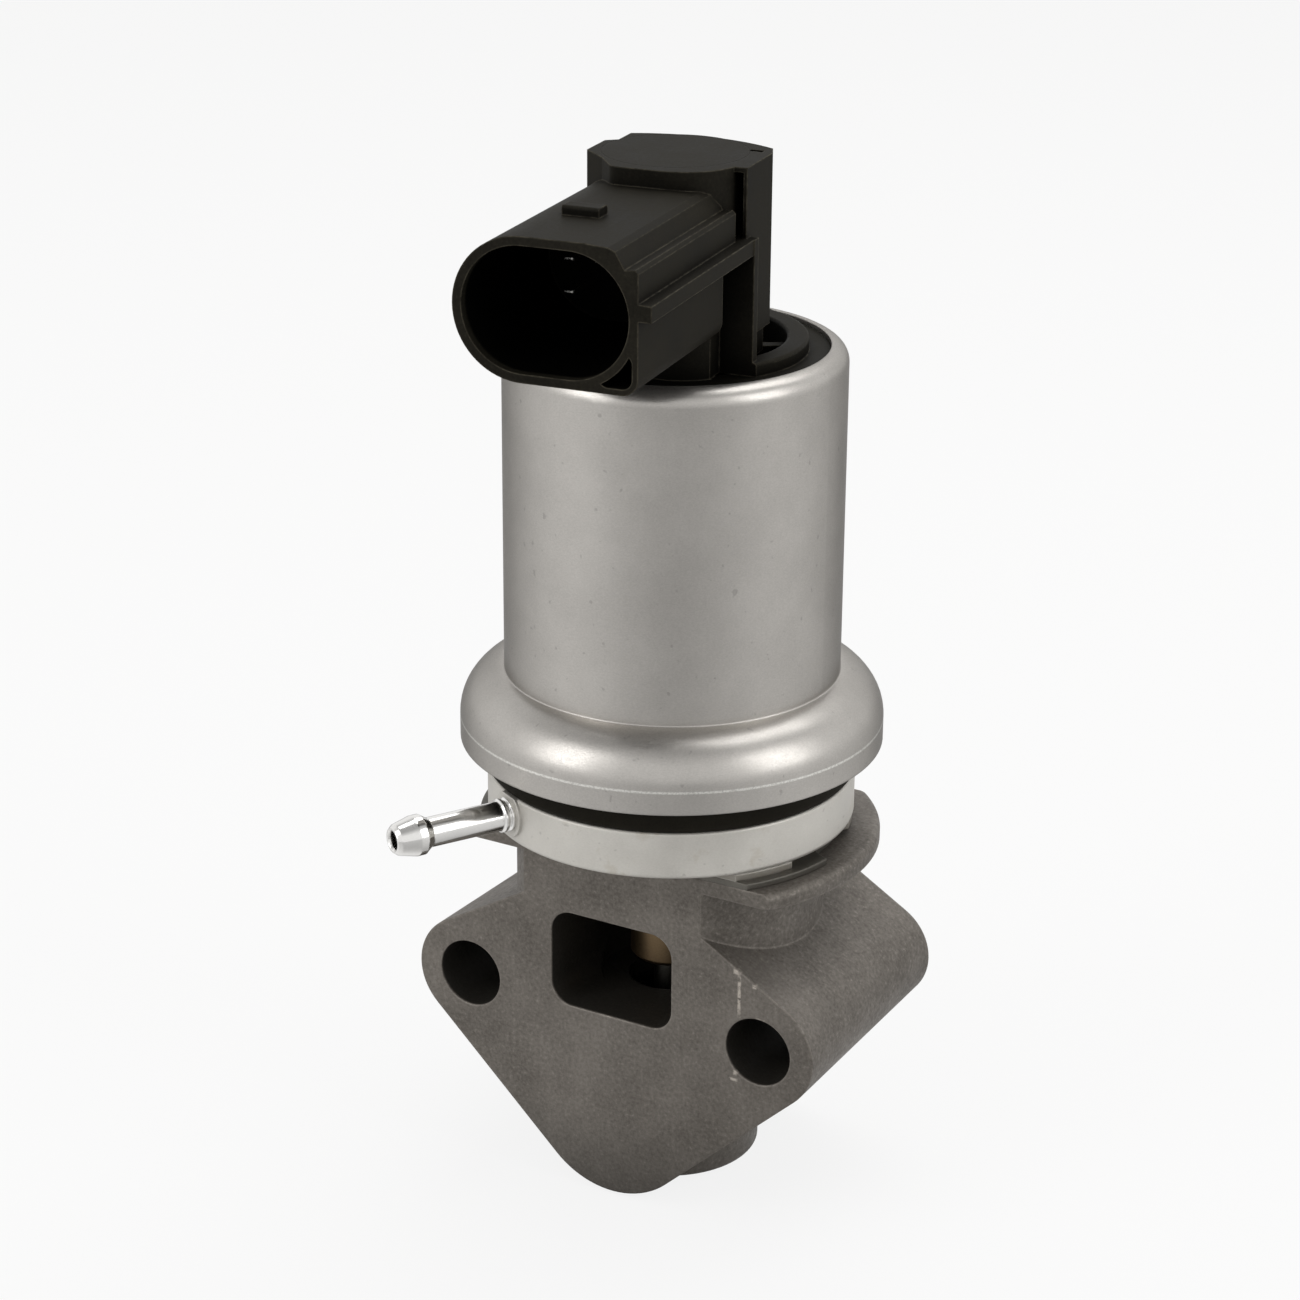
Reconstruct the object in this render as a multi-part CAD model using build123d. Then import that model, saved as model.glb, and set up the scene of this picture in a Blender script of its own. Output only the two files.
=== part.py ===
from build123d import *
import os
from math import cos, radians, sin, sqrt, tan

# Solenoid-driven exhaust gas recirculation valve, in millimetres.
# Origin: midway between the two flange bolts, on the front flange face.
# +Z runs up the valve stem and +X lies along the line of the two bolts. The front face looks to -Y.

# Casting
AXIS_Y = 14.9                      # valve axis behind the front flange face
BODY_DEPTH = 34.0                  # front face to rear face
DRAFT = 1.0                        # mould draft of the lugs, in degrees
BOLT_SPACING = 42.0
BOLT_HOLE_R = 4.5                  # clearance for M8
LUG_R = 7.6
FOOT_R = 11.8                      # round at the bottom of the flange
FOOT_Z = -14.0
NECK_R = 19.6
SHOULDER_X = sqrt(NECK_R ** 2 - AXIS_Y ** 2)   # where the neck meets the front face
SHOULDER_Z = 13.65
SWELL = 2.1                        # fuller flank of the left lug, at its fullest depth
SWELL_SHARE = 0.6                  # that depth, as a share of the body's
SWELL_INSET = 0.15                 # the fuller flank starts this far inside the lug
DISC_R = 26.6
DISC_FLAT = 22.2                   # flat on the disc's left side
DISC_BOTTOM = 19.5
DISC_TOP = 21.5
BOSS_R = 11.85
BOSS_BOTTOM = -24.6

# Gas passages
PORT_W = 17.5
PORT_CORNER = 3.0
FRONT_PORT_FLOOR = -0.75
FRONT_PORT_TOP = 12.3
REAR_PORT_FLOOR = -19.0
REAR_PORT_TOP = -7.5
CHAMBER_R = PORT_W / 2
LOWER_CHAMBER_R = 9.0
WELL_R = 8.0                       # spring well in the top of the neck
WELL_FLOOR = 16.5

# Valve seat and stem
SEAT_R = 7.5
SEAT_TOP = -3.0
SEAT_BORE_R = 4.4
STEM_R = 2.0
RUNNING = 0.05                     # radial clearance of a sliding fit
HEAD_R = 5.6
HEAD_TOP = -8.0                    # sharp outer edge of the head's 45 degree cone
HEAD_THICK = 1.6
SEAT_LIFT = 0.35                   # axial clearance between the two cones
GUIDE_R = 5.0
GUIDE_BOTTOM = 2.2
GUIDE_FLANGE_R = 7.0
GUIDE_TOP = 18.2
SEAL_R = 4.0
SEAL_DEPTH = 2.0

# Return spring, on top of the guide
VALVE_TRAVEL = 4.0
SPRING_WIRE_R = 0.5
SPRING_R = 4.9
SPRING_TURNS = 5
RETAINER_BOTTOM = 30.0
RETAINER_THICK = 1.4
RETAINER_R = 6.3
CLIP_THICK = 0.7
CLIP_R = 3.5
CLIP_GROOVE_R = 1.55

# Base ring
EAR_R = 24.2                       # the spacer's three ears
EAR_WIDTH = 18.2
SPACER_THICK = 0.8
BASE_BOTTOM = DISC_TOP + SPACER_THICK
BASE_RING_R = 23.2
BASE_WALL = 1.6                    # how far foot and band seat stand in from the ring's skin
BASE_FOOT_R = BASE_RING_R - BASE_WALL
BASE_TAB_R = BASE_RING_R - 0.2
BASE_TAB_WIDTH = 31.0
BASE_RING_BOTTOM = 23.2
BASE_RING_TOP = 29.3
BASE_TOP = 33.2
BASE_FLOOR = 24.8
BASE_CAVITY_R = 18.9
BASE_EYE_R = 8.0
BAND_SEAT_R = BASE_RING_R - BASE_WALL
BAND_R = BASE_RING_R + 0.2
SCREW_R = 2.0
SCREW_END = 13.2
SCREW_HEAD_R = 3.5
SCREW_HEAD = 2.6
SCREW_HEAD_GAP = 0.4               # between a screw head and the cavity wall
SCREW_CIRCLE_R = BASE_CAVITY_R - SCREW_HEAD_R - SCREW_HEAD_GAP
SCREW_ANGLES = (30, 150, 210, 330)

# Vent nipple, radial from the base ring
NIPPLE_ANGLE = -119.2
NIPPLE_Z = 26.8
NIPPLE_R = 1.87
NIPPLE_BORE_R = 1.15
NIPPLE_REACH = 16.2                # tip's distance from the ring's skin
NIPPLE_TIP = BASE_RING_R + NIPPLE_REACH
NIPPLE_BARB_R = 2.55
NIPPLE_COLLAR_R = 2.14
NIPPLE_PAD_R = 2.9
NIPPLE_PAD_STAND = 0.3
NIPPLE_PAD_FACE = BASE_RING_R + NIPPLE_PAD_STAND

# Solenoid can, drawn from sheet
SHEET = 1.0
RIM_R = 26.55
RIM_TOP = 36.1
SHOULDER_R = 6.2                   # quarter-round shoulder above the rim
CAN_R = 21.0
CAN_TOP = 83.9
CAN_CORNER = 2.1
CAN_MOUTH_R = 18.8
YOKE_R = CAN_R - SHEET

# Magnet
PLATE_REGISTER = 1.6               # depth of the plate's step into the base ring
CORE_R = 7.0
CORE_TOP = 50.0
CORE_BORE_R = 2.6
SLEEVE_WALL = 0.5
ARMATURE_BOTTOM = 54.5
ARMATURE_TOP = 73.0
STEM_TOP = 64.0
BOBBIN_BOTTOM = 36.2
BOBBIN_TOP = 76.5
BOBBIN_WALL = 1.2
BOBBIN_FLANGE = 1.5
BOBBIN_R = 19.4
WINDING_R = 18.4
YOKE_BOTTOM = 76.5
YOKE_TOP = 79.3

# Cap disc
CAP_SKIRT_TOP = 80.0
CAP_NECK_R = 18.7
CAP_TOP = 83.3
CAP_RING_R = 16.1
CAP_RING_WALL = 2.7
CAP_RING_TOP = 85.0
CAP_HUB_BOTTOM = 75.5
CAP_GROOVE_R = 8.5                 # inner radius of the groove inside the raised ring
CAP_GROOVE_FLOOR = 81.6

# Sensor tower and socket. x runs across the socket, -y towards the plug.
CONNECTOR_TURN = 8.0               # turn of the socket away from the flange's normal, in degrees
TOWER_LEFT = -8.45
TOWER_LEFT_FRONT = -7.3
TOWER_LEFT_STEP = 1.35             # the left side stands further in towards the back
TOWER_RIGHT = 12.05
TOWER_BACK = 4.7
TOWER_FRONT = -8.65
TOWER_TOP = 108.0
TOWER_FOOT = 87.5                  # its right wall ends here, above the cap's pocket
WEB_RIGHT = 13.1                   # upright web between the rail and the cap
WEB_THICK = 1.3
DRUM_X = 1.2                       # middle of the sensor's round cavity
DRUM_Y = -3.7
NOSE_X = 3.6                       # large round at the tower's front right
NOSE_Y = -7.0
NOSE_R = 7.0
BROW_X = -1.9                      # small round at its front left
BROW_Y = -12.5
BROW_R = 1.5
TOWER_BEVEL = 3.15                 # bevel between that round and the tower's left side
CAVITY_R = 8.4
CAVITY_FLOOR = 86.0
LID_R = 8.7
LID_THICK = 1.6
GAP_W = 1.3                        # upright gap between the drum and the right wall
GAP_WALL = 0.45
GAP_DEPTH = 3.8
GAP_ROOF = 0.6
SOCKET_X = 0.4
SOCKET_Z = 97.6
SOCKET_MOUTH = -40.0
SOCKET_FLOOR = -16.0
SOCKET_BACK = -14.4                # end of the shroud's lower right side
FLANK_BACK = -10.6                 # end of its upper right side
SOCKET_W = 19.9
SOCKET_H = 14.4
SOCKET_WALL_W = 22.05
SOCKET_WALL_H = 16.5
RAIL_TOP = 99.75
RAIL_BOTTOM = 97.8
RAIL_OUT = 1.55
CORNER_R = 1.9                     # lower right corner of the shroud
KEY_RING = 1.0                     # wall between the socket and the key slot
KEY_SKIN = 0.7                     # wall between the key slot and the outside
KEY_DEPTH = 12.0
NUB_LEFT = -2.1
NUB_RIGHT = 2.4
NUB_FRONT = -29.4
NUB_LENGTH = 2.4
NUB_HEIGHT = 1.1

# Lift sensor
PIN_GAP = 0.3                      # rest gap between plunger and armature
PLUNGER_R = 1.5
PLUNGER_TOP = 99.0
SENSOR_SPRING_R = 2.3
SENSOR_WIRE_R = 0.25
SENSOR_TURNS = 7
CARRIER_BOTTOM = 91.0
CARRIER_TOP = 96.5
CARRIER_R = 3.2
ARM_W = 3.2
ARM_GAP = 1.6                      # between the carrier's arm and the board
CONTACT_T = 0.4
BOARD_W = 10.6
BOARD_BACK = -9.0
BOARD_THICK = 1.0
BOARD_BOTTOM = 88.0
BOARD_TOP = 104.0
BLADE_W = 1.4
BLADE_T = 0.6
BLADE_TIP = -24.4
BLADE_PITCH = 3.9
BLADE_ROWS = 3.9
LEAD_R = 0.5
LEAD_SIDE = 5.6                    # to either side of the drum's middle
LEAD_GAP = 0.5                     # between a lead and the board
LEAD_LAP = 3.0                     # height that a lead shares with the board

STEM_AXIS = Pos(0, AXIS_Y, 0)
SENSOR_FRAME = STEM_AXIS * Rot(0, 0, CONNECTOR_TURN)
FLANGE_FACE = Plane(origin=(0, 0, 0), x_dir=(-1, 0, 0), z_dir=(0, 1, 0))


def turned(*outline):
    """Solid turned about Z from a closed (radius, height) outline."""
    profile = make_face(Polyline(*outline, close=True))
    return revolve(Plane.XZ * profile, Axis.Z)


def tube(outer, inner, bottom, top):
    return turned((inner, bottom), (outer, bottom), (outer, top), (inner, top))


def rod(radius, bottom, top):
    return Pos(0, 0, (bottom + top) / 2) * Cylinder(radius, top - bottom)


def block(x_range, y_range, z_range):
    """Box between two limits on each axis."""
    spans = [high - low for low, high in (x_range, y_range, z_range)]
    middle = [(low + high) / 2 for low, high in (x_range, y_range, z_range)]
    return Pos(*middle) * Box(*spans)


def round_at(shape, radius, height):
    """Fillet the circular edges that lie at one height."""
    edges = shape.edges().filter_by(GeomType.CIRCLE).filter_by_position(Axis.Z, height - 0.01, height + 0.01)
    return fillet(edges, radius)


def coil_spring(radius, wire, turns, bottom, top):
    """Helical spring whose wire fills the height from bottom to top."""
    length = top - bottom - 2 * wire
    path = Helix(pitch=length / turns, height=length, radius=radius)
    section = Plane(origin=path @ 0, z_dir=path % 0) * Circle(wire)
    return Pos(0, 0, bottom + wire) * sweep(section, path=path)


def gas_port(floor, top):
    """Rounded rectangle of a gas port, drawn on the flange face."""
    return Pos(0, (floor + top) / 2) * RectangleRounded(PORT_W, top - floor, PORT_CORNER)


# Body casting

def valve_body():
    half = BOLT_SPACING / 2
    lugs = [Pos(side * half, 0) * Circle(LUG_R) for side in (-1, 1)]
    foot = Pos(0, FOOT_Z) * Circle(FOOT_R)
    shoulders = Line((-SHOULDER_X, SHOULDER_Z), (SHOULDER_X, SHOULDER_Z))
    outline = make_hull(lugs[0].edges() + lugs[1].edges() + foot.edges() + [shoulders.edge()])
    body = extrude(FLANGE_FACE * outline, amount=BODY_DEPTH, taper=DRAFT) + lug_swell()

    disc = round_at(rod(DISC_R, DISC_BOTTOM, DISC_TOP), 0.9, DISC_TOP)
    column = STEM_AXIS * (rod(NECK_R, 0, DISC_BOTTOM) + disc)
    column &= block((-DISC_FLAT, DISC_R), (0, BODY_DEPTH), (-1, DISC_TOP))
    body += column
    boss = rod(BOSS_R, BOSS_BOTTOM, FOOT_Z)
    body += STEM_AXIS * round_at(boss, 0.8, BOSS_BOTTOM)

    front = extrude(FLANGE_FACE * gas_port(FRONT_PORT_FLOOR, FRONT_PORT_TOP), amount=AXIS_Y)
    rear_plane = FLANGE_FACE.offset(AXIS_Y)
    rear = extrude(rear_plane * gas_port(REAR_PORT_FLOOR, REAR_PORT_TOP), amount=BODY_DEPTH - AXIS_Y)
    body -= front + rear
    passages = [
        rod(CHAMBER_R, FRONT_PORT_FLOOR, FRONT_PORT_TOP),
        rod(SEAT_BORE_R + 0.8, SEAT_TOP, FRONT_PORT_FLOOR),
        rod(SEAT_R, REAR_PORT_TOP, SEAT_TOP),
        rod(LOWER_CHAMBER_R, FOOT_Z - FOOT_R, REAR_PORT_TOP),
        rod(GUIDE_R, FRONT_PORT_TOP, WELL_FLOOR),
        rod(WELL_R, WELL_FLOOR, DISC_TOP),
    ]
    passages += [place * rod(SCREW_R, SCREW_END, DISC_TOP) for place in screw_places()]
    for passage in passages:
        body -= STEM_AXIS * passage
    for side in (-1, 1):
        bolt_hole = Pos(side * half, BODY_DEPTH / 2, 0) * Rot(90, 0, 0) * Cylinder(BOLT_HOLE_R, BODY_DEPTH)
        body -= bolt_hole
    return body


def lug_swell():
    """Left lug with its upper flank fuller between the faces than at them."""
    sections = []
    for depth, rise in ((0, 0), (SWELL_SHARE * BODY_DEPTH, SWELL), (BODY_DEPTH, 0)):
        inset = depth * tan(radians(DRAFT)) + SWELL_INSET
        lug = Pos(BOLT_SPACING / 2, 0) * Circle(LUG_R - inset)
        crest = (SHOULDER_X + rise / 2 - inset, SHOULDER_Z + rise * 0.87 - inset)
        root = Line(crest, (SHOULDER_X, 0))
        sections.append(FLANGE_FACE.offset(depth) * make_hull(lug.edges() + [root.edge()]))
    return loft(sections, ruled=True)


def screw_places():
    return [Rot(0, 0, angle) * Pos(SCREW_CIRCLE_R, 0, 0) for angle in SCREW_ANGLES]


def valve_seat():
    ring = tube(SEAT_R, SEAT_BORE_R, REAR_PORT_TOP, SEAT_TOP)
    edge = HEAD_TOP + SEAT_LIFT
    mouth = turned((0, edge), (HEAD_R, edge), (0, edge + HEAD_R))
    return STEM_AXIS * (ring - mouth)


def bottom_plug():
    """Pressed cup, open downwards, with a rolled lip."""
    depth = 3.6
    cup = rod(LOWER_CHAMBER_R, BOSS_BOTTOM + 0.4, BOSS_BOTTOM + 0.4 + depth)
    cup = round_at(cup, 1.0, BOSS_BOTTOM + 0.4 + depth)
    return STEM_AXIS * (cup - rod(LOWER_CHAMBER_R - 1.2, BOSS_BOTTOM, BOSS_BOTTOM + depth - 0.8))


def poppet_valve():
    """Head with a 45 degree sealing cone and a tulip neck, on a long stem."""
    cone_top = HEAD_TOP + HEAD_R - 3.6
    clip_bottom = RETAINER_BOTTOM + RETAINER_THICK
    outline = [
        (0, HEAD_TOP - HEAD_THICK),
        (HEAD_R - 0.4, HEAD_TOP - HEAD_THICK),
        (HEAD_R, HEAD_TOP - HEAD_THICK + 0.4),
        (HEAD_R, HEAD_TOP),
        (3.6, cone_top),
        (2.5, cone_top + 1.4),
        (STEM_R, cone_top + 3.2),
        (STEM_R, clip_bottom),
        (CLIP_GROOVE_R, clip_bottom),
        (CLIP_GROOVE_R, clip_bottom + CLIP_THICK),
        (STEM_R, clip_bottom + CLIP_THICK),
        (STEM_R, STEM_TOP - 0.5),
        (STEM_R - 0.5, STEM_TOP),
        (0, STEM_TOP),
    ]
    return STEM_AXIS * turned(*outline)


def stem_guide():
    bore = STEM_R + RUNNING
    outline = [
        (bore, GUIDE_BOTTOM),
        (GUIDE_R - 0.6, GUIDE_BOTTOM),
        (GUIDE_R, GUIDE_BOTTOM + 0.6),
        (GUIDE_R, WELL_FLOOR),
        (GUIDE_FLANGE_R, WELL_FLOOR),
        (GUIDE_FLANGE_R, GUIDE_TOP),
        (SEAL_R, GUIDE_TOP),
        (SEAL_R, GUIDE_TOP - SEAL_DEPTH),
        (bore, GUIDE_TOP - SEAL_DEPTH),
    ]
    return STEM_AXIS * turned(*outline)


def stem_seal():
    return STEM_AXIS * tube(SEAL_R, STEM_R + RUNNING, GUIDE_TOP - SEAL_DEPTH, GUIDE_TOP)


def return_spring():
    return STEM_AXIS * coil_spring(SPRING_R, SPRING_WIRE_R, SPRING_TURNS, GUIDE_TOP, RETAINER_BOTTOM)


def spring_retainer():
    spigot_r = SPRING_R - SPRING_WIRE_R - 0.3
    top = RETAINER_BOTTOM + RETAINER_THICK
    outline = [
        (STEM_R, RETAINER_BOTTOM - 1.4),
        (spigot_r - 0.5, RETAINER_BOTTOM - 1.4),
        (spigot_r, RETAINER_BOTTOM),
        (RETAINER_R, RETAINER_BOTTOM),
        (RETAINER_R, top),
        (STEM_R, top),
    ]
    return STEM_AXIS * turned(*outline)


def retainer_clip():
    bottom = RETAINER_BOTTOM + RETAINER_THICK
    clip = tube(CLIP_R, CLIP_GROOVE_R, bottom, bottom + CLIP_THICK)
    clip -= block((0, CLIP_R + 1), (-1.2, 1.2), (bottom - 1, bottom + 2))
    return STEM_AXIS * clip


# Base ring and what is fixed to it

def spacer_plate():
    """Thin plate between casting and base, with three ears under the base's gaps."""
    plate = tube(BASE_FOOT_R, BASE_EYE_R, DISC_TOP, BASE_BOTTOM)
    for angle in (-30, 90, 210):
        width = (-EAR_WIDTH / 2, EAR_WIDTH / 2)
        sector = Rot(0, 0, angle) * block((0, EAR_R), width, (DISC_TOP, BASE_BOTTOM))
        plate += tube(EAR_R, BASE_FOOT_R - 1, DISC_TOP, BASE_BOTTOM) & sector
    for place in screw_places():
        plate -= place * rod(SCREW_R + 0.2, DISC_TOP, BASE_BOTTOM)
    plate = STEM_AXIS * plate
    return plate & block((-EAR_R, EAR_R), (0, BODY_DEPTH), (DISC_TOP, BASE_BOTTOM))


def base_ring():
    outline = [
        (BASE_EYE_R, BASE_BOTTOM),
        (BASE_FOOT_R, BASE_BOTTOM),
        (BASE_FOOT_R, BASE_RING_BOTTOM),
        (BASE_RING_R - 0.5, BASE_RING_BOTTOM),
        (BASE_RING_R - 0.15, BASE_RING_BOTTOM + 0.15),
        (BASE_RING_R, BASE_RING_BOTTOM + 0.5),
        (BASE_RING_R, BASE_RING_TOP - 0.2),
        (BASE_RING_R - 0.2, BASE_RING_TOP),
        (BAND_SEAT_R, BASE_RING_TOP),
        (BAND_SEAT_R, BASE_TOP),
        (BASE_CAVITY_R, BASE_TOP),
        (BASE_CAVITY_R, BASE_FLOOR),
        (BASE_EYE_R, BASE_FLOOR),
    ]
    ring = turned(*outline)
    # stepped foot: tabs between the ring and the spacer plate
    for angle in (-62.6, 57.4, 177.4):
        width = (-BASE_TAB_WIDTH / 2, BASE_TAB_WIDTH / 2)
        sector = Rot(0, 0, angle) * block((0, BASE_TAB_R), width, (BASE_BOTTOM, BASE_RING_BOTTOM))
        ring += tube(BASE_TAB_R, BASE_FOOT_R - 1, BASE_BOTTOM, BASE_RING_BOTTOM) & sector
    pad = nipple_place() * rod(NIPPLE_PAD_R, BASE_CAVITY_R + 1, NIPPLE_PAD_FACE)
    pad &= rod(NIPPLE_TIP, BASE_RING_BOTTOM, BASE_RING_TOP)
    ring += pad
    ring -= nipple_place() * rod(NIPPLE_R, BASE_EYE_R, NIPPLE_TIP)
    for place in screw_places():
        ring -= place * rod(SCREW_R + 0.2, BASE_BOTTOM, BASE_FLOOR)
    # the foot ends flush with the casting's flange face, the ring stands out in front of it
    return STEM_AXIS * ring - block((-BASE_RING_R, BASE_RING_R), (-BASE_RING_R, 0), (BASE_BOTTOM, BASE_RING_BOTTOM))


def nipple_place():
    """Frame at the valve axis with Z along the nipple."""
    return Rot(0, 0, NIPPLE_ANGLE) * Pos(0, 0, NIPPLE_Z) * Rot(0, 90, 0)


def vent_nipple():
    root = BASE_CAVITY_R
    barb = NIPPLE_TIP - 3.2
    outline = [
        (NIPPLE_BORE_R, root),
        (NIPPLE_R, root),
        (NIPPLE_R, NIPPLE_PAD_FACE),
        (NIPPLE_COLLAR_R, NIPPLE_PAD_FACE),
        (NIPPLE_COLLAR_R, NIPPLE_PAD_FACE + 0.35),
        (NIPPLE_R, NIPPLE_PAD_FACE + 0.5),
        (NIPPLE_R, NIPPLE_PAD_FACE + 0.75),
        (NIPPLE_COLLAR_R, NIPPLE_PAD_FACE + 0.9),
        (NIPPLE_COLLAR_R, NIPPLE_PAD_FACE + 1.25),
        (NIPPLE_R, NIPPLE_PAD_FACE + 1.4),
        (NIPPLE_R, barb - 1.6),
        (NIPPLE_BARB_R, barb - 0.6),
        (NIPPLE_BARB_R, barb + 0.4),
        (NIPPLE_R + 0.1, NIPPLE_TIP - 0.5),
        (NIPPLE_R - 0.3, NIPPLE_TIP),
        (NIPPLE_BORE_R + 0.2, NIPPLE_TIP),
        (NIPPLE_BORE_R, NIPPLE_TIP - 0.3),
    ]
    return STEM_AXIS * nipple_place() * turned(*outline)


def base_seal():
    band = tube(BAND_R, BAND_SEAT_R, BASE_RING_TOP, BASE_TOP)
    edges = band.edges().filter_by(GeomType.CIRCLE).sort_by(SortBy.RADIUS)[-2:]
    return STEM_AXIS * fillet(edges, 0.8)


def base_screws():
    screw = rod(SCREW_R, SCREW_END, BASE_FLOOR)
    head = rod(SCREW_HEAD_R, BASE_FLOOR, BASE_FLOOR + SCREW_HEAD)
    head = round_at(head, 1.0, BASE_FLOOR + SCREW_HEAD)
    recess = Pos(0, 0, BASE_FLOOR + 1.0) * extrude(RegularPolygon(1.5, 6), amount=SCREW_HEAD)
    screw += head - recess
    return Compound([STEM_AXIS * place * screw for place in screw_places()])


# Solenoid

def can_form(inset, bottom, top):
    """Turned form of the can, drawn in from its outer skin by the sheet thickness."""
    wall = CAN_R - inset
    radius = SHOULDER_R - inset
    centre = RIM_R - SHOULDER_R
    fold = wall - centre
    fold_z = RIM_TOP + sqrt(radius ** 2 - fold ** 2)
    middle = radians(45)
    rim = (RIM_R - inset, RIM_TOP)
    crown = (centre + radius * cos(middle), RIM_TOP + radius * sin(middle))
    lines = [
        Line((0, bottom), (RIM_R - inset, bottom)),
        Line((RIM_R - inset, bottom), rim),
        ThreePointArc(rim, crown, (wall, fold_z)),
        Line((wall, fold_z), (wall, top)),
        Line((wall, top), (0, top)),
        Line((0, top), (0, bottom)),
    ]
    profile = make_face(Wire(lines))
    return revolve(Plane.XZ * profile, Axis.Z)


def solenoid_can():
    outer = round_at(can_form(0, BASE_TOP, CAN_TOP), CAN_CORNER, CAN_TOP)
    inner = can_form(SHEET, BASE_TOP, CAN_TOP - CAN_CORNER - 0.4)
    return STEM_AXIS * (outer - inner - rod(CAN_MOUTH_R, CAN_TOP - 10, CAN_TOP))


def flange_plate():
    plate = tube(RIM_R - SHEET, CORE_R, BASE_TOP, RIM_TOP - 0.1)
    step = tube(BASE_CAVITY_R, BASE_CAVITY_R - 2.4, BASE_TOP - PLATE_REGISTER, BASE_TOP)
    return STEM_AXIS * (plate + step)


def pole_piece():
    """Fixed core with the conical recess that shapes the magnet's force."""
    outline = [
        (CORE_BORE_R, BASE_TOP),
        (CORE_R, BASE_TOP),
        (CORE_R, CORE_TOP),
        (CORE_R - 0.6, CORE_TOP),
        (CORE_R - 1.6, CORE_TOP - 1.6),
        (CORE_BORE_R, CORE_TOP - 1.6),
    ]
    return STEM_AXIS * turned(*outline)


def armature_sleeve():
    return STEM_AXIS * tube(CORE_R + SLEEVE_WALL, CORE_R, RIM_TOP - 0.1, YOKE_TOP)


def armature():
    """Moving iron with a coned lower end that enters the core's recess."""
    radius = CORE_R - RUNNING
    outline = [
        (STEM_R, ARMATURE_BOTTOM),
        (radius - 1.9, ARMATURE_BOTTOM),
        (radius, ARMATURE_BOTTOM + 1.9),
        (radius, ARMATURE_TOP - 0.5),
        (radius - 0.5, ARMATURE_TOP),
        (0, ARMATURE_TOP),
        (0, STEM_TOP),
        (STEM_R - 0.5, STEM_TOP),
        (STEM_R, STEM_TOP - 0.5),
    ]
    iron = turned(*outline)
    vent = (STEM_R + radius) / 2
    for side in (-1, 1):
        iron -= Pos(side * vent, 0, 0) * rod(0.9, ARMATURE_BOTTOM, ARMATURE_TOP)
    return STEM_AXIS * iron


def coil_bobbin():
    hub = CORE_R + SLEEVE_WALL
    outline = [
        (hub, BOBBIN_BOTTOM),
        (BOBBIN_R, BOBBIN_BOTTOM),
        (BOBBIN_R, BOBBIN_BOTTOM + BOBBIN_FLANGE),
        (hub + BOBBIN_WALL, BOBBIN_BOTTOM + BOBBIN_FLANGE),
        (hub + BOBBIN_WALL, BOBBIN_TOP - BOBBIN_FLANGE),
        (BOBBIN_R, BOBBIN_TOP - BOBBIN_FLANGE),
        (BOBBIN_R, BOBBIN_TOP),
        (hub, BOBBIN_TOP),
    ]
    former = turned(*outline)
    for place in lead_places():
        former -= place * rod(LEAD_R, BOBBIN_TOP - BOBBIN_FLANGE, BOBBIN_TOP)
    return SENSOR_FRAME * former


def coil_winding():
    inner = CORE_R + SLEEVE_WALL + BOBBIN_WALL
    winding = tube(WINDING_R, inner, BOBBIN_BOTTOM + BOBBIN_FLANGE, BOBBIN_TOP - BOBBIN_FLANGE)
    return STEM_AXIS * winding


def lead_places():
    """The two coil wires stand in the cavity's front, behind the board."""
    y = BOARD_BACK + LEAD_GAP + LEAD_R
    return [Pos(DRUM_X + side * LEAD_SIDE, y, 0) for side in (-1, 1)]


def coil_leads():
    top = BOARD_BOTTOM + LEAD_LAP
    wires = [place * rod(LEAD_R, BOBBIN_TOP - BOBBIN_FLANGE, top) for place in lead_places()]
    return Compound([SENSOR_FRAME * wire for wire in wires])


def upper_yoke():
    yoke = tube(YOKE_R, CORE_R + SLEEVE_WALL, YOKE_BOTTOM, YOKE_TOP)
    for place in lead_places():
        yoke -= place * rod(LEAD_R + 0.6, YOKE_BOTTOM, YOKE_TOP)
    return SENSOR_FRAME * yoke


def cap_seal():
    return STEM_AXIS * tube(YOKE_R, CAP_NECK_R, CAP_SKIRT_TOP, CAN_TOP - CAN_CORNER - 0.4)


# Cap, tower and socket

def oval(width, height):
    """Flat-sided oval of the socket, drawn on a plane that faces the plug."""
    return SlotOverall(width, height)


def socket_prism(section, start, end):
    """Extrude a section in (x, z) along the plug's direction."""
    plane = Plane(origin=(0, start, 0), x_dir=(1, 0, 0), z_dir=(0, -1, 0))
    return extrude(plane * section, amount=start - end)


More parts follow.
